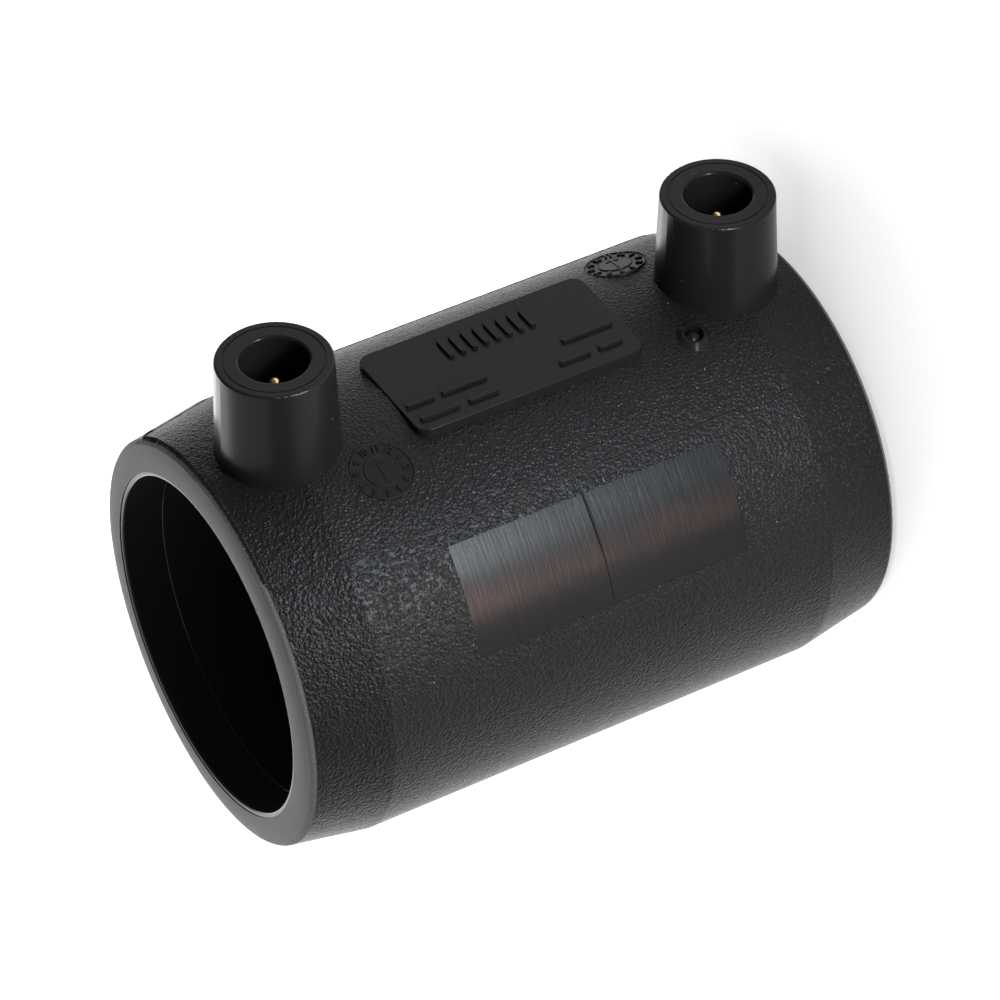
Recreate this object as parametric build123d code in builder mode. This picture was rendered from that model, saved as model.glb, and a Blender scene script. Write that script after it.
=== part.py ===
from build123d import *

import os
from math import cos, radians, sin, tan

# Electrofusion coupler for 50 mm polyethylene pipe, standing on one end.
# Z runs along the bore, the origin is the centre of the lower end face, and the two
# terminal shrouds point along -Y. Lengths are millimetres, angles are degrees.

# Sockets
pipe_d = 50.0             # outside diameter of the pipe
fusion_gap = 0.25         # radial room for the pipe in the heated zone
entry_gap = 0.35          # radial room for the pipe in the mouth
entry_depth = 6.5
entry_bevel = 0.1         # length of the bevel from the mouth to the heated zone
stop_height = 1.25        # how far the centre stop stands into the bore
stop_width = 3.0          # length of the stop's inner face

# Outer form of the body
body_length = 97.0
body_wall = 7.4           # wall of the middle part
end_wall = 5.45           # wall where the taper meets the rounded end
taper_length = 12.4       # from the end face to the full diameter
lip_width = 0.7           # smooth ring between the mouth and the end face
lip_step = 0.12           # how far that ring lies below the end face
lip_round = 0.4
face_width = 1.15         # flat ring of the end face, outside the lip
crown_width = 2.8         # gently curved ring outside the flat one
crown_drop = 0.42
edge_drop = 1.05          # where the rounded edge runs into the taper

# The terminals, plate, panel, indicators and dials share a middle of their own
feature_shift = 0.4       # how much nearer the lower end it is than the body's middle

# Terminal shrouds
terminal_spacing = 71.5
shroud_rise = 14.2        # top of a shroud above the body
shroud_root = 3.0         # how deep its block reaches into the wall
shroud_top_r = 8.3
shroud_draft = 2.4        # degrees
shroud_edge = 0.35        # rounding of the outer top edge
well_r = 4.87
well_depth = 12.0
well_lip = 0.45           # rounding of the well's mouth
ring_r = 7.1              # fine ring on the top face
ring_width = 0.22
ring_depth = 0.15

# Contact pins
pin_d = 4.0
pin_recess = 3.4          # tip of the pin below the shroud's top
pin_nose = 2.4            # height of the tapered end
pin_point_r = 0.75        # radius of the rounded point at its top
pin_point_drop = 0.4      # height of that rounding
root_d = 4.8              # thicker part that is moulded into the shroud
foot_d = 6.0
foot_height = 2.6
foot_cover = 0.65         # plastic between the bore and the foot

# Heating wire
wire_d = 1.0
wire_cover = 0.45         # plastic between the bore and the wire
wire_sides = 6            # sides of the wire's section
zone_turns = 8
zone_length = 26.0
link_turns = 1            # wide turns that cross the unheated middle

# Label plate, and raised bars in place of print
plate_length = 36.7
plate_width = 19.0
plate_rise = 0.2          # above the crown of the body
plate_block = 2.6         # how deep its block reaches below its face
plate_corner = 2.0
plate_edge = 0.15         # rounding of the edge of its face
bar_height = 0.5
bar_width = 0.95
bar_sink = 0.3            # how deep a bar reaches into the plate
rib_count = 8
rib_pitch = 1.9
rib_length = 4.2
rib_place = (0.3, 4.6)    # middle of the row of ribs, from the middle of the plate
# Each bar: its middle along and across the plate, and its length
bars = [
    (-15.2, -3.6, 4.6),
    (-8.1, -3.6, 7.4),
    (-13.9, -7.0, 6.4),
    (-6.9, -7.0, 5.0),
    (12.6, -2.4, 8.4),
    (8.3, -6.4, 5.2),
    (14.1, -6.4, 4.0),
]

# Smooth panel on the flank
panel_length = 43.8
panel_start = 43.9        # degrees round the body from the terminals
panel_end = 73.0
panel_depth = 0.06

# Fusion indicators
indicator_offset = 26.05  # along the bore from the middle
indicator_angle = 16.6    # round the body from the terminals
indicator_rise = 0.85
indicator_base_r = 2.45
indicator_rim_r = 1.75
indicator_root = 1.5      # how deep the boss reaches into the wall
stud_well_r = 1.42
stud_well_depth = 1.5     # open ring round the stud
stud_cover = 1.0          # plastic between the wire and the stud's foot
stud_r = 1.15
stud_recess = 0.35        # top of the stud below the rim
stud_dome = 0.7

# Date dials
dial_offset = 25.7        # along the bore from the middle
dial_angle = 20.2         # round the body from the terminals
dial_r = 4.6
dial_sink = 0.1           # how far its flat face lies below the crown of the body there
dial_root = 1.0           # how deep its block reaches below that face
hub_r = 2.4
hub_rise = 0.12
arrow_rise = 0.12
arrow_line = 0.3
arrow_length = 3.4
arrow_head = 1.1          # length of each stroke of its head
arrow_barb = 60           # degrees between the shaft and a stroke
arrow_turn = {"lower": 80, "upper": 90}

cut_room = 1.0            # how far the cuts for panel and dials reach above their floors

# Sizes that follow from the ones above
middle = body_length / 2
feature_middle = middle - feature_shift
bore_r = pipe_d / 2 + fusion_gap
entry_r = pipe_d / 2 + entry_gap
stop_r = bore_r - stop_height
body_r = bore_r + body_wall
end_r = bore_r + end_wall
lip_r = entry_r + lip_width
face_r = lip_r + face_width
crown_r = face_r + crown_width
shroud_top = body_r + shroud_rise
well_floor = shroud_top - well_depth
pin_tip = shroud_top - pin_recess
foot_under = bore_r + foot_cover
plate_face = body_r + plate_rise
wire_r = bore_r + wire_cover + wire_d / 2
stud_floor = wire_r + wire_d / 2 + stud_cover
stud_rim = body_r + indicator_rise
stud_top = stud_rim - stud_recess
terminals = {
    "lower": feature_middle - terminal_spacing / 2,
    "upper": feature_middle + terminal_spacing / 2,
}
indicators = {
    "lower": (-indicator_angle, feature_middle - indicator_offset),
    "upper": (indicator_angle, feature_middle + indicator_offset),
}
dials = {
    "lower": (dial_angle, feature_middle - dial_offset),
    "upper": (-dial_angle, feature_middle + dial_offset),
}


def outward(angle):
    """Direction away from the bore, angle degrees round the body from the terminals."""
    return Vector(sin(radians(angle)), -cos(radians(angle)), 0)


def outward_axis(angle, height):
    return Axis((0, 0, height), outward(angle))


def section_plane(angle, height):
    """Plane for a profile turned about an outward axis: Y outwards, X along the bore."""
    along = Vector(0, 0, 1)
    return Plane(origin=(0, 0, height), x_dir=along, z_dir=along.cross(outward(angle)))


def tangent_plane(radius, angle, height):
    """Plane that touches the body: its normal points outwards, its X along the bore."""
    origin = outward(angle) * radius + Vector(0, 0, height)
    return Plane(origin=origin, x_dir=(0, 0, -1), z_dir=outward(angle))


# Heating wire: one length, wound in two zones with a wide turn between them
link_length = terminal_spacing - 2 * zone_length
coil_start = Plane((0, 0, terminals["lower"]), x_dir=outward(0), z_dir=(0, 0, 1))
with BuildPart() as heating_wire:
    with BuildLine(coil_start) as coil:
        Helix(zone_length / zone_turns, zone_length, wire_r)
        Helix(link_length / link_turns, link_length, wire_r, center=(0, 0, zone_length))
        upper_zone = (0, 0, zone_length + link_length)
        Helix(zone_length / zone_turns, zone_length, wire_r, center=upper_zone)
    winding = coil.wires()[0]
    with BuildSketch(Plane(origin=winding @ 0, z_dir=winding % 0)):
        RegularPolygon(wire_d / 2, wire_sides)
    sweep(path=winding, transition=Transition.TRANSFORMED)
heating_wire.part.label = "heating_wire"

# Contact pins: a foot that grips the wire's end, a root, a plain shank and a tapered nose
contact_pins = []
for name, height in terminals.items():
    with BuildPart() as contact_pin:
        with BuildSketch(section_plane(0, height)):
            with BuildLine():
                point = TangentArc((0, pin_tip), (pin_point_r, pin_tip - pin_point_drop), tangent=(1, 0))
                Polyline(
                    point @ 1,
                    (pin_d / 2, pin_tip - pin_nose),
                    (pin_d / 2, well_floor),
                    (root_d / 2, well_floor),
                    (root_d / 2, foot_under + foot_height),
                    (foot_d / 2, foot_under + foot_height),
                    (foot_d / 2, foot_under),
                    (0, foot_under),
                    (0, pin_tip),
                )
            make_face()
        revolve(axis=outward_axis(0, height))
        add(heating_wire.part, mode=Mode.SUBTRACT)
    contact_pin.part.label = f"contact_pin_{name}"
    contact_pins.append(contact_pin)

# Fusion indicators: a plug in the wall with a domed stud, beside each terminal
indicator_studs = []
for name, (angle, height) in indicators.items():
    with BuildPart() as indicator_stud:
        with BuildSketch(section_plane(angle, height)):
            with BuildLine():
                dome = TangentArc((0, stud_top), (stud_r, stud_top - stud_dome), tangent=(1, 0))
                Polyline(
                    dome @ 1,
                    (stud_r, stud_rim - stud_well_depth),
                    (stud_well_r, stud_rim - stud_well_depth),
                    (stud_well_r, stud_floor),
                    (0, stud_floor),
                    (0, stud_top),
                )
            make_face()
        revolve(axis=outward_axis(angle, height))
    indicator_stud.part.label = f"fusion_indicator_{name}"
    indicator_studs.append(indicator_stud)

# Body
with BuildPart() as body:
    # Lower half of the wall, turned round the bore and mirrored
    with BuildSketch(Plane.XZ):
        with BuildLine():
            crown = TangentArc((face_r, 0), (crown_r, crown_drop), tangent=(1, 0))
            edge = TangentArc(crown @ 1, (end_r, edge_drop), tangent=crown % 1)
            Polyline(
                edge @ 1,
                (body_r, taper_length),
                (body_r, middle),
                (stop_r, middle),
                (stop_r, middle - stop_width / 2),
                (bore_r, middle - stop_width / 2 - stop_height),
                (bore_r, entry_depth + entry_bevel),
                (entry_r, entry_depth),
                (entry_r, lip_step + lip_round),
            )
            rounding = (entry_r + lip_round, lip_step + lip_round)
            CenterArc(rounding, lip_round, start_angle=180, arc_size=90)
            Polyline((entry_r + lip_round, lip_step), (lip_r, lip_step), (lip_r, 0), (face_r, 0))
        make_face()
    revolve(axis=Axis.Z)
    mirror(about=Plane.XY.offset(middle))

    # Smooth panel: a shallow recess on the flank
    with BuildSketch(section_plane(-panel_start, feature_middle)):
        with Locations((0, body_r - panel_depth)):
            Rectangle(panel_length, cut_room, align=(Align.CENTER, Align.MIN))
    revolve(axis=Axis.Z, revolution_arc=panel_start - panel_end, mode=Mode.SUBTRACT)

    # Label plate: a flat block let into the curve of the body
    with BuildSketch(tangent_plane(plate_face, 0, feature_middle)) as plate_outline:
        RectangleRounded(plate_length, plate_width, plate_corner)
    extrude(amount=-plate_block)
    plate_rim = faces().sort_by(Axis.Y)[0].edges()
    fillet(plate_rim, plate_edge)

    # Raised ribs and bars on the plate
    with BuildSketch(tangent_plane(plate_face, 0, feature_middle)):
        with Locations(rib_place):
            with GridLocations(rib_pitch, 0, rib_count, 1):
                SlotOverall(rib_length, bar_width, rotation=90)
        for along, across, length in bars:
            with Locations((along, across)):
                SlotOverall(length, bar_width)
    extrude(amount=bar_height)

    # Shrouds: drafted posts with a rounded top edge, a fine ring and a well for the pin
    for height in terminals.values():
        root = body_r - shroud_root
        root_r = shroud_top_r + (shroud_top - root) * tan(radians(shroud_draft))
        with BuildSketch(section_plane(0, height)):
            with BuildLine():
                Polyline(
                    (0, root),
                    (root_r, root),
                    (shroud_top_r, shroud_top),
                    (ring_r + ring_width / 2, shroud_top),
                    (ring_r + ring_width / 2, shroud_top - ring_depth),
                    (ring_r - ring_width / 2, shroud_top - ring_depth),
                    (ring_r - ring_width / 2, shroud_top),
                    (well_r, shroud_top),
                    (well_r, well_floor),
                    (0, well_floor),
                    close=True,
                )
            make_face()
            fillet(vertices().sort_by_distance((shroud_top_r, shroud_top))[0], shroud_edge)
            fillet(vertices().sort_by_distance((well_r, shroud_top))[0], well_lip)
        revolve(axis=outward_axis(0, height))

    # Indicator bosses: low cones that run into the wall
    for angle, height in indicators.values():
        slope = (indicator_base_r - indicator_rim_r) / indicator_rise
        root_r = indicator_base_r + slope * indicator_root
        with BuildSketch(section_plane(angle, height)):
            with BuildLine():
                Polyline(
                    (0, body_r - indicator_root),
                    (root_r, body_r - indicator_root),
                    (indicator_rim_r, stud_rim),
                    (0, stud_rim),
                    close=True,
                )
            make_face()
        revolve(axis=outward_axis(angle, height))
        with BuildSketch(tangent_plane(stud_rim, angle, height)):
            Circle(stud_well_r)
        extrude(amount=stud_floor - stud_rim, mode=Mode.SUBTRACT)

    # Date dials: flat discs let into the curve of the body, with a raised hub and arrow
    for name, (angle, height) in dials.items():
        face = tangent_plane(body_r - dial_sink, angle, height)
        with BuildSketch(face):
            Circle(dial_r)
        extrude(amount=cut_room, mode=Mode.SUBTRACT)
        with BuildSketch(face):
            Circle(dial_r)
        extrude(amount=-dial_root)
        with BuildSketch(face):
            Circle(hub_r)
        extrude(amount=hub_rise)
        with BuildSketch(face.offset(hub_rise)):
            with Locations(Location((0, 0), arrow_turn[name])):
                SlotOverall(arrow_length, arrow_line)
                for barb in (-arrow_barb, arrow_barb):
                    with Locations(Location((arrow_length / 2, 0), barb)):
                        SlotOverall(arrow_head, arrow_line, align=(Align.MAX, Align.CENTER))
        extrude(amount=arrow_rise)

    # Places of the moulded-in pieces
    for piece in [heating_wire, *contact_pins, *indicator_studs]:
        add(piece.part, mode=Mode.SUBTRACT)
body.part.label = "body"

os.makedirs("parts", exist_ok=True)
for piece in [body, heating_wire, *contact_pins, *indicator_studs]:
    export_step(piece.part, f"parts/{piece.part.label}.step")
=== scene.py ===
import math

import bmesh
import bpy
from mathutils import Matrix, Vector


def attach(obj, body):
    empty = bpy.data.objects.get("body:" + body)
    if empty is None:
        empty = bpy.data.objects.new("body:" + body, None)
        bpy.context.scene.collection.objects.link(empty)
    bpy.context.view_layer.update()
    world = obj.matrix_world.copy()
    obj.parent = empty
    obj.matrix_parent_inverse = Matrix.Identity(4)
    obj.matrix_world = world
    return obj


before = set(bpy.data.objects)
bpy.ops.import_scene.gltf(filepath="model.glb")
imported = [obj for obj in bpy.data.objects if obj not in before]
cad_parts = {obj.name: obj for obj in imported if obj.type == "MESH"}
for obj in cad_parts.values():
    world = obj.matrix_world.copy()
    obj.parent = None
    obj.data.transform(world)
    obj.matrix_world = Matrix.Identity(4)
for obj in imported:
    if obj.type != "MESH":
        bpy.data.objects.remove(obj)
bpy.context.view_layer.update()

MM = 0.001

# Sizes of the part, in millimetres, and angles in degrees round the body from the terminals
LENGTH = 97.0
MIDDLE = LENGTH / 2
FEATURES = MIDDLE - 0.4
BODY_R = 32.65
END_R = 30.7
EDGE_DROP = 1.05
TAPER = 12.4
LIP_R = 26.05
BORE_LIMIT = 25.6  # between the bore's wall and the lip recess
OUTSIDE_LIMIT = 29.7  # between the end face and the outer wall
SHROUD_TOP = 46.85
SHROUD_TOP_R = 8.3
SHROUD_DRAFT = math.tan(math.radians(2.4))
TERMINALS = (FEATURES - 35.75, FEATURES + 35.75)
TERMINAL_SIDE = -15.0  # y in front of which the terminals, plate, dials and indicators are
PLATE_LENGTH = 36.7
PLATE_WIDTH = 19.0
PANEL_LENGTH = 43.8
PANEL_START = -43.9
PANEL_END = -73.0
DIAL_R = 4.6
DIAL_HUB_R = 2.45
DIAL_FACE = BODY_R - 0.1
DIALS = {"lower": (20.2, FEATURES - 25.7), "upper": (-20.2, FEATURES + 25.7)}
INDICATOR_R = 2.5
INDICATORS = ((-16.6, FEATURES - 26.05), (16.6, FEATURES + 26.05))
MASK_GAP = 0.02  # what a smooth place's mask reaches past its outline

# Parting lines, torn flash and the fin on the panel
SEAM = 38.7
SEAM_STEPS = 380
SEAM_HALF = 0.16
SEAM_RISE = 0.07
SEAM_TORN_RISE = 0.12
SEAM_BEND = 4.5  # the seam leaves its straight line this far below the upper end
SEAM_TORN_PLACE = 5.5
FLASH_REACH = 35.5
FLASH_STEPS = 420
FLASH_RISE = 0.3
FLASH_HALF = 0.42
FIN_START = -42.0
FIN_SWEEP = 30.0
FIN_STEPS = 100
RIM_RISE = 0.16
RIM_HALF = 0.11
NUMBER_SIZE = 1.5
NUMBER_RING_R = 3.55
FIRST_NUMBER = 47  # bearing in degrees of where a number 0 would stand

# Colours
BLACK_DEEP = (0.006, 0.006, 0.0066, 1.0)
BLACK_PALE = (0.0095, 0.0092, 0.0095, 1.0)
FACE_DEEP = (0.075, 0.073, 0.071, 1.0)
FACE_PALE = (0.125, 0.122, 0.12, 1.0)
# Painted reflections of the low lamps on the smooth panel: a cool band and a warm band
PAINTED_COOL_REFLECTION = (0.014, 0.018, 0.022, 1.0)
PAINTED_WARM_REFLECTION = (0.032, 0.02, 0.018, 1.0)
# Painted sheen inside each open end of the bore
PAINTED_MOUTH_SHEEN = (0.024, 0.024, 0.026, 1.0)
DUST_GREY = (0.22, 0.21, 0.2, 1.0)
BRASS_DEEP = (0.72, 0.50, 0.20, 1.0)
BRASS_PALE = (0.86, 0.66, 0.32, 1.0)
WIRE_DEEP = (0.55, 0.30, 0.17, 1.0)
WIRE_PALE = (0.72, 0.42, 0.26, 1.0)
FLOOR_DEEP = (0.82, 0.82, 0.82, 1.0)
FLOOR_PALE = (0.86, 0.86, 0.86, 1.0)
COOL_LIGHT = (0.84, 0.94, 1.0)
WARM_LIGHT = (1.0, 0.72, 0.66)


def outward(angle):
    return Vector((math.sin(math.radians(angle)), -math.cos(math.radians(angle)), 0))


# Camera: a long lens that looks down on the part from the side of the terminals
CAMERA_PLACE = Vector((-475.881, -483.508, 323.9))
CAMERA_AIM = Vector((2.396, -3.164, 47.151))
CAMERA_UP = Vector((0.5618, -0.7548, -0.3385))
camera_data = bpy.data.cameras.new("camera")
camera_data.sensor_width = 36
camera_data.lens = 181.87
camera_data.clip_end = 20
camera = bpy.data.objects.new("camera", camera_data)
bpy.context.scene.collection.objects.link(camera)
back = (CAMERA_PLACE - CAMERA_AIM).normalized()
right = CAMERA_UP.cross(back).normalized()
up = back.cross(right)
turn = Matrix((right, up, back)).transposed().to_4x4()
camera.matrix_world = Matrix.Translation(CAMERA_PLACE * MM) @ turn
bpy.context.scene.camera = camera
bpy.context.scene.view_settings.view_transform = "Standard"


class Nodes:
    """Short forms for the nodes of one material."""

    def __init__(self, name):
        self.material = bpy.data.materials.new(name)
        self.material.use_nodes = True
        self.tree = self.material.node_tree
        self.shader = self.tree.nodes["Principled BSDF"]
        self.place = self.make("ShaderNodeTexCoord").outputs["Object"]
        scaled = self.make("ShaderNodeVectorMath")
        scaled.operation = "SCALE"
        self.link(self.place, scaled.inputs[0])
        scaled.inputs["Scale"].default_value = 1 / MM
        self.mm = scaled.outputs["Vector"]

    def make(self, kind):
        return self.tree.nodes.new(kind)

    def link(self, source, target):
        """Joins a socket to another, or sets it where the source is a plain value."""
        if isinstance(source, (int, float, tuple)):
            target.default_value = source
        else:
            self.tree.links.new(source, target)

    def math(self, operation, a, b=0.0, c=0.0):
        node = self.make("ShaderNodeMath")
        node.operation = operation
        self.link(a, node.inputs[0])
        self.link(b, node.inputs[1])
        self.link(c, node.inputs[2])
        return node.outputs[0]

    def vector(self, operation, a, b=(0.0, 0.0, 0.0)):
        node = self.make("ShaderNodeVectorMath")
        node.operation = operation
        self.link(a, node.inputs[0])
        self.link(b, node.inputs[1])
        name = "Value" if operation in ("DOT_PRODUCT", "LENGTH", "DISTANCE") else "Vector"
        return node.outputs[name]

    def ramp(self, value, low, high, smooth=True):
        """0 below low and 1 above high."""
        node = self.make("ShaderNodeMapRange")
        node.interpolation_type = "SMOOTHSTEP" if smooth else "LINEAR"
        self.link(value, node.inputs["Value"])
        node.inputs["From Min"].default_value = low
        node.inputs["From Max"].default_value = high
        return node.outputs["Result"]

    def combine(self, x, y, z=0.0):
        node = self.make("ShaderNodeCombineXYZ")
        for value, socket in zip((x, y, z), node.inputs):
            self.link(value, socket)
        return node.outputs[0]

    def band(self, value, low, high, soft):
        """1 between low and high, with soft edges outside them."""
        rise = self.ramp(value, low - soft, low)
        return self.math("MULTIPLY", rise, self.ramp(value, high + soft, high))

    def noise(self, scale, detail=2.0, roughness=0.5, vector=None):
        node = self.make("ShaderNodeTexNoise")
        self.link(self.mm if vector is None else vector, node.inputs["Vector"])
        node.inputs["Scale"].default_value = scale
        node.inputs["Detail"].default_value = detail
        node.inputs["Roughness"].default_value = roughness
        return node.outputs["Fac"]

    def cells(self, scale, vector=None):
        """Distance from the middle of the nearest cell."""
        node = self.make("ShaderNodeTexVoronoi")
        self.link(self.mm if vector is None else vector, node.inputs["Vector"])
        node.inputs["Scale"].default_value = scale
        return node.outputs["Distance"]

    def mix(self, factor, a, b):
        """Mix of two numbers."""
        node = self.make("ShaderNodeMix")
        self.link(factor, node.inputs["Factor"])
        self.link(a, node.inputs["A"])
        self.link(b, node.inputs["B"])
        return node.outputs["Result"]

    def colour(self, factor, a, b):
        """Mix of two colours."""
        node = self.make("ShaderNodeMix")
        node.data_type = "RGBA"
        self.link(factor, node.inputs["Factor"])
        sockets = [s for s in node.inputs if s.type == "RGBA"]
        self.link(a, sockets[0])
        self.link(b, sockets[1])
        return [s for s in node.outputs if s.type == "RGBA"][0]

    def bump(self, height, distance, normal=None):
        """Bump of a height given in 0..1, where 1 stands for distance in millimetres."""
        node = self.make("ShaderNodeBump")
        node.inputs["Strength"].default_value = 1.0
        node.inputs["Distance"].default_value = distance * MM
        self.link(height, node.inputs["Height"])
        if normal is not None:
            self.link(normal, node.inputs["Normal"])
        return node.outputs["Normal"]


def distance_from_line(n, point, direction):
    """Distance in millimetres of the shaded place from a line."""
    offset = n.vector("SUBTRACT", n.mm, tuple(point))
    across = n.vector("CROSS_PRODUCT", offset, tuple(direction))
    return n.vector("LENGTH", across)


def body_material():
    n = Nodes("black_polyethylene")
    split = n.make("ShaderNodeSeparateXYZ")
    n.link(n.mm, split.inputs[0])
    x, y, z = split.outputs
    radius = n.math("SQRT", n.math("ADD", n.math("MULTIPLY", x, x), n.math("MULTIPLY", y, y)))
    angle = n.math("MULTIPLY", n.math("ARCTAN2", x, n.math("MULTIPLY", y, -1.0)), 180 / math.pi)
    from_middle = n.math("ABSOLUTE", n.math("SUBTRACT", z, MIDDLE))
    from_end = n.math("SUBTRACT", MIDDLE, from_middle)

    # Smooth places on the outside, each 1 inside its outline
    smooth = []
    rings = []
    for height in TERMINALS:
        away = distance_from_line(n, (0, 0, height), (0, 1, 0))
        reach = n.math("MULTIPLY_ADD", n.math("ADD", y, SHROUD_TOP), SHROUD_DRAFT, SHROUD_TOP_R + 0.06)
        smooth.append(n.math("LESS_THAN", away, reach))
        wave = n.math("SINE", n.math("MULTIPLY", away, 15.7))
        rings.append(n.math("MULTIPLY", smooth[-1], wave))
    shroud_rings = n.math("ADD", rings[0], rings[1])
    shroud_rings = n.math("MULTIPLY", shroud_rings, n.math("LESS_THAN", y, 0.5 - SHROUD_TOP))
    plate_x = n.math("LESS_THAN", n.math("ABSOLUTE", x), PLATE_WIDTH / 2 + MASK_GAP)
    from_features = n.math("ABSOLUTE", n.math("SUBTRACT", z, FEATURES))
    plate_z = n.math("LESS_THAN", from_features, PLATE_LENGTH / 2 + MASK_GAP)
    smooth.append(n.math("MULTIPLY", plate_x, plate_z))
    for dial_angle, height in DIALS.values():
        away = distance_from_line(n, (0, 0, height), outward(dial_angle))
        smooth.append(n.math("LESS_THAN", away, DIAL_R + MASK_GAP))
    for stud_angle, height in INDICATORS:
        away = distance_from_line(n, (0, 0, height), outward(stud_angle))
        smooth.append(n.math("LESS_THAN", away, INDICATOR_R))
    front = smooth[0]
    for mask in smooth[1:]:
        front = n.math("MAXIMUM", front, mask)
    front = n.math("MULTIPLY", front, n.math("LESS_THAN", y, TERMINAL_SIDE))

    bore = n.math("LESS_THAN", radius, BORE_LIMIT)
    outside = n.math("GREATER_THAN", radius, OUTSIDE_LIMIT)
    off_end = n.ramp(from_end, EDGE_DROP - 0.1, EDGE_DROP + 0.2)
    before_panel_start = n.math("LESS_THAN", angle, PANEL_START)
    panel = n.math("MULTIPLY", before_panel_start, n.math("GREATER_THAN", angle, PANEL_END))
    panel = n.math("MULTIPLY", panel, n.math("LESS_THAN", from_features, PANEL_LENGTH / 2))
    panel = n.math("MULTIPLY", panel, outside)
    plain = n.math("MAXIMUM", front, panel)
    grain_mask = n.math("MULTIPLY", outside, off_end)
    grain_mask = n.math("MULTIPLY", grain_mask, n.math("SUBTRACT", 1.0, plain))

    # Leather grain: small pebbles of uneven height with soft valleys between them
    warp = n.make("ShaderNodeTexNoise")
    n.link(n.mm, warp.inputs["Vector"])
    warp.inputs["Scale"].default_value = 1.9
    warped = n.vector("ADD", n.mm, n.vector("MULTIPLY", warp.outputs["Color"], (0.6, 0.6, 0.6)))
    hills = n.ramp(n.cells(2.0, warped), 0.8, 0.0)
    lumps = n.noise(1.5, 3.0, 0.6)
    height = n.math("MULTIPLY_ADD", lumps, 1.3, hills)
    height = n.math("MULTIPLY", height, grain_mask)

    # Fine grain of the end faces
    face_mask = n.math("GREATER_THAN", radius, LIP_R)
    face_mask = n.math("MULTIPLY", face_mask, n.math("SUBTRACT", 1.0, off_end))
    fine = n.math("MULTIPLY", n.noise(3.2, 3.0, 0.7), face_mask)

    # Rubbed panel: streaks and a few scratches that run round the body
    streak_place = n.combine(n.math("MULTIPLY", angle, 0.05), n.math("MULTIPLY", z, 2.4))
    streaks = n.noise(1.0, 4.0, 0.7, streak_place)
    scratch_place = n.combine(n.math("MULTIPLY", angle, 0.022), n.math("MULTIPLY", z, 5.0), 7.0)
    scratches = n.ramp(n.noise(1.0, 2.0, 0.5, scratch_place), 0.68, 0.76)
    brushed = n.math("MULTIPLY", n.math("SUBTRACT", streaks, scratches), panel)

    normal = n.bump(height, 0.1)
    normal = n.bump(fine, 0.12, normal)
    normal = n.bump(shroud_rings, 0.006, normal)
    normal = n.bump(brushed, 0.035, normal)
    n.link(normal, n.shader.inputs["Normal"])

    # Black with a painted cool reflection and a painted warm reflection streaked along the panel, grey
    # end faces, and some dust
    base = n.colour(n.noise(0.05, 2.0, 0.5), BLACK_DEEP, BLACK_PALE)
    patches = n.ramp(n.noise(0.16, 3.0, 0.6), 0.35, 0.65)
    patchy = n.math("MULTIPLY_ADD", patches, 0.6, 0.4)
    # Painted reflection: cool and warm bands of sheen at the angles where the panel mirrors the low
    # cool and warm lamps, streaked and patchy, the cool one fading towards the lower end
    painted_reflection_streaks = n.math("MULTIPLY", n.math("MULTIPLY", streaks, panel), patchy)
    cool = n.math("MULTIPLY", n.band(angle, -50.5, -46.5, 4.5), n.ramp(z, 75.0, 30.0))
    base = n.colour(n.math("MULTIPLY", cool, painted_reflection_streaks), base, PAINTED_COOL_REFLECTION)
    warm = n.math("MULTIPLY", n.band(angle, -60.0, -57.0, 6.0), painted_reflection_streaks)
    base = n.colour(warm, base, PAINTED_WARM_REFLECTION)
    face_colour = n.colour(n.noise(2.6, 2.0, 0.6), FACE_DEEP, FACE_PALE)
    base = n.colour(face_mask, base, face_colour)
    # Painted sheen: the bore's wall turns lighter grey towards each open end, standing in for light
    # that reaches into the mouth
    painted_mouth_sheen = n.math("MULTIPLY", bore, n.ramp(from_end, 30.0, 0.0))
    base = n.colour(painted_mouth_sheen, base, PAINTED_MOUTH_SHEEN)
    speck = n.math("LESS_THAN", n.cells(0.3), 0.028)
    dusty = n.math("GREATER_THAN", n.noise(0.06, 2.0, 0.5), 0.52)
    base = n.colour(n.math("MULTIPLY", speck, dusty), base, DUST_GREY)
    n.link(base, n.shader.inputs["Base Color"])

    # Roughness: worn grain, matt end faces, a glossy bore and the rubbed panel
    wear = n.noise(0.4, 4.0, 0.6)
    rough = n.mix(grain_mask, 0.24, n.math("MULTIPLY_ADD", wear, 0.14, 0.19))
    rough = n.mix(face_mask, rough, 0.62)
    rough = n.mix(bore, rough, 0.14)
    rough = n.mix(panel, rough, n.math("MULTIPLY_ADD", streaks, 0.14, 0.2))
    n.link(rough, n.shader.inputs["Roughness"])
    n.shader.inputs["Specular IOR Level"].default_value = 0.1
    return n.material


def metal(name, low, high, rough):
    n = Nodes(name)
    tint = n.noise(1.5, 3.0, 0.6)
    n.link(n.colour(tint, low, high), n.shader.inputs["Base Color"])
    n.shader.inputs["Metallic"].default_value = 1.0
    n.link(n.math("MULTIPLY_ADD", n.noise(4.0, 3.0, 0.6), 0.1, rough), n.shader.inputs["Roughness"])
    return n.material


def plastic(name, rough):
    n = Nodes(name)
    tint = n.colour(n.noise(0.8, 2.0, 0.5), BLACK_DEEP, BLACK_PALE)
    n.link(tint, n.shader.inputs["Base Color"])
    n.link(n.math("MULTIPLY_ADD", n.noise(3.0, 2.0, 0.5), 0.1, rough), n.shader.inputs["Roughness"])
    n.shader.inputs["Specular IOR Level"].default_value = 0.1
    n.link(n.bump(n.noise(5.0, 2.0, 0.5), 0.01), n.shader.inputs["Normal"])
    return n.material


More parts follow.
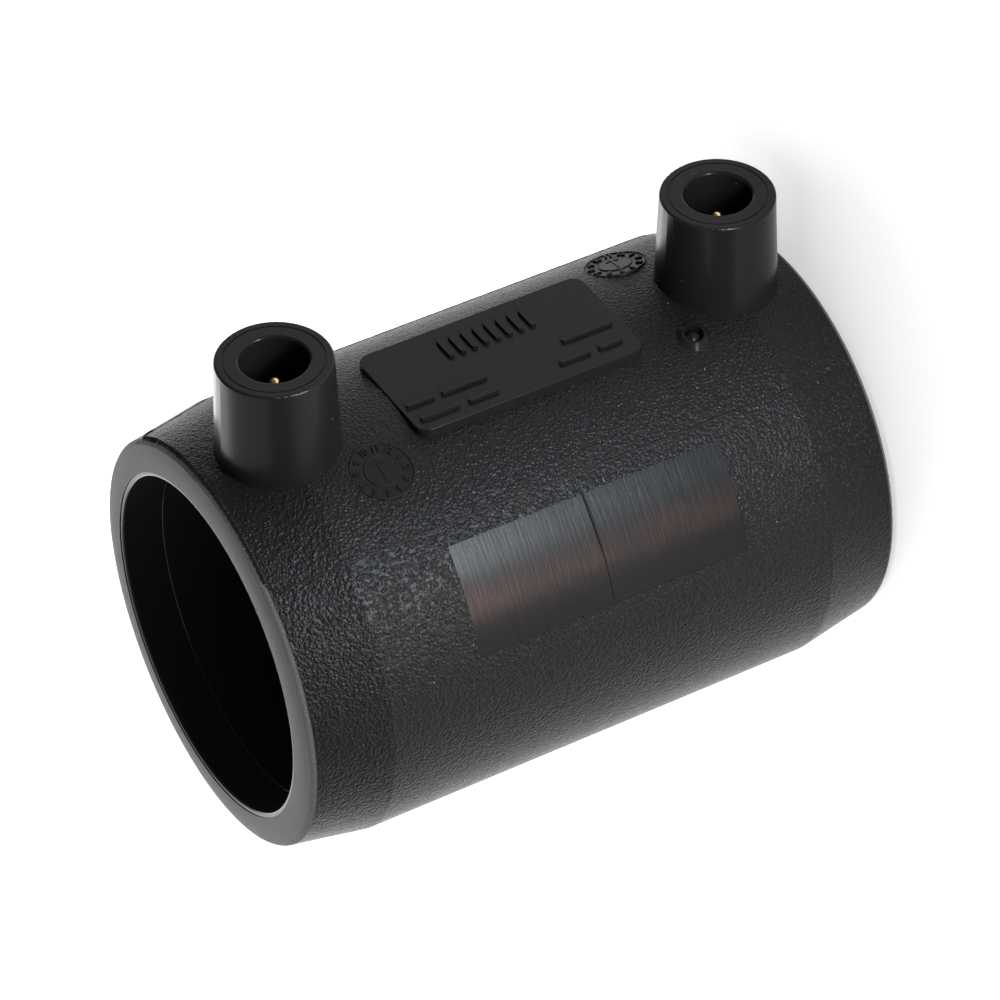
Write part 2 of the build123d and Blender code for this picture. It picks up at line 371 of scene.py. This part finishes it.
black = body_material()
brass = metal("polished_brass", BRASS_DEEP, BRASS_PALE, 0.16)
wire = metal("resistance_wire", WIRE_DEEP, WIRE_PALE, 0.3)
stud = plastic("smooth_black_plastic", 0.2)
torn = plastic("torn_black_plastic", 0.42)
looks = {
    "body": black,
    "heating_wire": wire,
    "contact_pin_upper": brass,
    "contact_pin_lower": brass,
    "fusion_indicator_upper": stud,
    "fusion_indicator_lower": stud,
}
for name, material in looks.items():
    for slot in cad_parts[name].material_slots:
        slot.material = material


def piece(name, mesh, material):
    """An object of the scene that rides on the body."""
    part = bpy.data.objects.new(name, mesh)
    bpy.context.scene.collection.objects.link(part)
    mesh.materials.append(material)
    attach(part, "root")


def wall_r(height):
    """Radius of the outer wall at a height, up to where the end's edge starts."""
    from_end = min(height, LENGTH - height)
    if from_end >= TAPER:
        return BODY_R
    share = max(0.0, from_end - EDGE_DROP) / (TAPER - EDGE_DROP)
    return END_R + (BODY_R - END_R) * share


def jitter(t, *waves):
    """A fixed wobble between about -1 and 1."""
    return sum(math.sin(t * rate + phase) for rate, phase in waves) / len(waves)


def ridge(name, spine, sides=8, closed=False):
    """A bead along a spine of (place, outward, across, height, half width), half sunk in the wall."""
    mesh = bpy.data.meshes.new(name)
    work = bmesh.new()
    rings = []
    for place, out, across, rise, half in spine:
        ring = []
        for step in range(sides):
            turn = 2 * math.pi * step / sides
            point = place + out * (rise * math.sin(turn)) + across * (half * math.cos(turn))
            ring.append(work.verts.new(point * MM))
        rings.append(ring)
    following_rings = rings[1:] + rings[:1] if closed else rings[1:]
    for first, second in zip(rings, following_rings):
        for step in range(sides):
            following = (step + 1) % sides
            work.faces.new((first[step], first[following], second[following], second[step]))
    if not closed:
        work.faces.new(reversed(rings[0]))
        work.faces.new(rings[-1])
    bmesh.ops.recalc_face_normals(work, faces=work.faces)
    for face in work.faces:
        face.smooth = True
    work.to_mesh(mesh)
    work.free()
    piece(name, mesh, torn)


def seam_spine(side):
    """Parting line of the mould, on one side of the terminals."""
    spine = []
    for step in range(SEAM_STEPS + 1):
        height = EDGE_DROP + (LENGTH - 2 * EDGE_DROP) * step / SEAM_STEPS
        angle = SEAM
        near_top = height - (LENGTH - SEAM_BEND)
        if near_top > 0:
            angle += 0.9 * min(near_top, 2.0) / 2.0 - 3.6 * max(0.0, near_top - 2.0) / 1.5
        angle += 0.12 * jitter(height, (0.9, 1.0), (2.3, 0.2), (5.1, 2.0))
        out = outward(side * angle)
        across = Vector((-out.y, out.x, 0))
        rise = SEAM_RISE + 0.04 * jitter(height, (1.7, 0.4), (4.3, 1.1), (11.0, 0.3))
        if abs(height - SEAM_TORN_PLACE) < 0.9 or near_top > 1.2:
            rise += SEAM_TORN_RISE
        place = out * wall_r(height) + Vector((0, 0, height))
        spine.append((place, out, across, rise, SEAM_HALF))
    return spine


def flash_spine():
    """Torn flash along the edge of the upper end face, between the parting lines."""
    spine = []
    for step in range(FLASH_STEPS + 1):
        angle = -FLASH_REACH + 2 * FLASH_REACH * step / FLASH_STEPS
        out = outward(angle)
        wobble = jitter(angle, (3.1, 0.0), (7.7, 1.3), (17.0, 0.6), (29.0, 2.2))
        lean = (out + Vector((0, 0, 0.9))).normalized()
        side_way = lean.cross(Vector((-out.y, out.x, 0)))
        place = out * (END_R - 0.12 + 0.06 * wobble) + Vector((0, 0, LENGTH - EDGE_DROP - 0.1))
        rise = FLASH_RISE + 0.14 * wobble
        spine.append((place, lean, side_way, rise, FLASH_HALF + 0.12 * wobble))
    return spine


def fin_spine():
    """Fin where the two halves of the smooth panel's mould met, high at first and then low."""
    spine = []
    for step in range(FIN_STEPS + 1):
        share = step / FIN_STEPS
        out = outward(FIN_START - FIN_SWEEP * step / FIN_STEPS)
        crest = math.sin(math.pi * min(1.0, share * 1.4 + 0.08)) if share < 0.66 else 0.0
        size = max(0.15, crest)
        place = out * (BODY_R - 0.06) + Vector((0, 0, FEATURES + 0.3 - 0.25 * share))
        spine.append((place, out, Vector((0, 0, 1)), 0.08 + 0.16 * size, 0.07 + 0.18 * size))
    return spine


ridge("parting_line_left", seam_spine(-1))
ridge("parting_line_right", seam_spine(1))
ridge("end_flash", flash_spine())
ridge("panel_fin", fin_spine())


def dial_numbers(name, angle, height):
    """Raised numbers 1 to 12 round a date dial."""
    out = outward(angle)
    right_way = Vector((0, 0, -1))
    up_way = out.cross(right_way)
    basis = Matrix((right_way, up_way, out)).transposed().to_4x4()
    dial_place = Matrix.Translation((out * DIAL_FACE + Vector((0, 0, height))) * MM)
    work = bmesh.new()
    for number in range(1, 13):
        text = bpy.data.curves.new(name, "FONT")
        text.body = str(number)
        text.size = NUMBER_SIZE * MM
        text.space_character = 0.9
        text.extrude = 0.22 * MM
        text.bevel_depth = 0.03 * MM
        text.align_x = "CENTER"
        text.align_y = "CENTER"
        text.resolution_u = 3
        carrier = bpy.data.objects.new(name, text)
        bpy.context.scene.collection.objects.link(carrier)
        bearing = math.radians(FIRST_NUMBER - 30 * number)
        on_ring = Vector((math.cos(bearing), math.sin(bearing), 0)) * NUMBER_RING_R * MM
        upright = Matrix.Rotation(bearing - math.pi / 2, 4, "Z")
        carrier.matrix_world = dial_place @ basis @ Matrix.Translation(on_ring) @ upright
        bpy.context.view_layer.update()
        graph = bpy.context.evaluated_depsgraph_get()
        solid = bpy.data.meshes.new_from_object(carrier.evaluated_get(graph))
        solid.transform(carrier.matrix_world)
        work.from_mesh(solid)
        bpy.data.objects.remove(carrier)
    bmesh.ops.remove_doubles(work, verts=work.verts, dist=0.001 * MM)
    mesh = bpy.data.meshes.new(name)
    work.to_mesh(mesh)
    work.free()
    piece(name, mesh, stud)


def dial_rim(name, angle, height, radius):
    """A raised ring on the face of a dial."""
    out = outward(angle)
    sideways = Vector((0, 0, 1))
    other = out.cross(sideways)
    middle = out * DIAL_FACE + Vector((0, 0, height))
    spine = []
    for degrees in range(0, 360, 3):
        turn = math.radians(degrees)
        across = sideways * math.cos(turn) + other * math.sin(turn)
        spine.append((middle + across * radius, out, across, RIM_RISE, RIM_HALF))
    ridge(name, spine, closed=True)


for name, (angle, height) in DIALS.items():
    dial_numbers("dial_numbers_" + name, angle, height)
    dial_rim("dial_rim_" + name, angle, height, DIAL_R - 0.1)
    dial_rim("dial_hub_rim_" + name, angle, height, DIAL_HUB_R)


def floor_material():
    """Pale and matt, and a little brighter to the camera and to reflections than to the lamps."""
    n = Nodes("pale_floor")
    tint = n.colour(n.noise(0.02, 3.0, 0.5), FLOOR_DEEP, FLOOR_PALE)
    n.link(tint, n.shader.inputs["Base Color"])
    n.shader.inputs["Roughness"].default_value = 0.8
    n.shader.inputs["Specular IOR Level"].default_value = 0.1
    path = n.make("ShaderNodeLightPath")
    seen = n.math("MAXIMUM", path.outputs["Is Camera Ray"], path.outputs["Is Glossy Ray"])
    seen = n.math("MAXIMUM", seen, path.outputs["Is Transmission Ray"])
    n.shader.inputs["Emission Color"].default_value = (1.0, 1.0, 1.0, 1.0)
    n.link(n.math("MULTIPLY", seen, 0.46), n.shader.inputs["Emission Strength"])
    return n.material


bpy.ops.mesh.primitive_plane_add(size=12)
floor = bpy.context.object
floor.name = "floor"
floor.location.z = -0.2 * MM
floor.data.materials.append(floor_material())


def lamp(name, place, size, power, colour=(1.0, 1.0, 1.0), aim=(0, 0, MIDDLE)):
    """A soft rectangular lamp, placed and sized in millimetres, that the camera doesn't see."""
    data = bpy.data.lights.new(name, "AREA")
    data.shape = "RECTANGLE"
    data.size = size[0] * MM
    data.size_y = size[1] * MM
    data.energy = power
    data.color = colour
    light = bpy.data.objects.new(name, data)
    bpy.context.scene.collection.objects.link(light)
    light.visible_camera = False
    light.location = Vector(place) * MM
    light.rotation_euler = (Vector(aim) - Vector(place)).to_track_quat("-Z", "Y").to_euler()


lamp("overhead", (-200, 900, 1900), (2600, 2600), 31.0)
lamp("cool_light", (-180, -150, 20), (80, 30), 0.7, COOL_LIGHT, (0, 0, 95))
lamp("warm_light", (-230, -70, 20), (44, 30), 0.22, WARM_LIGHT, (0, 0, 75))
lamp("back_light", (650, 660, 430), (1400, 900), 14.0)

world = bpy.data.worlds.new("world")
bpy.context.scene.world = world
world.use_nodes = True
background = world.node_tree.nodes["Background"]
background.inputs["Color"].default_value = (0.95, 0.97, 1.0, 1.0)
background.inputs["Strength"].default_value = 0.15
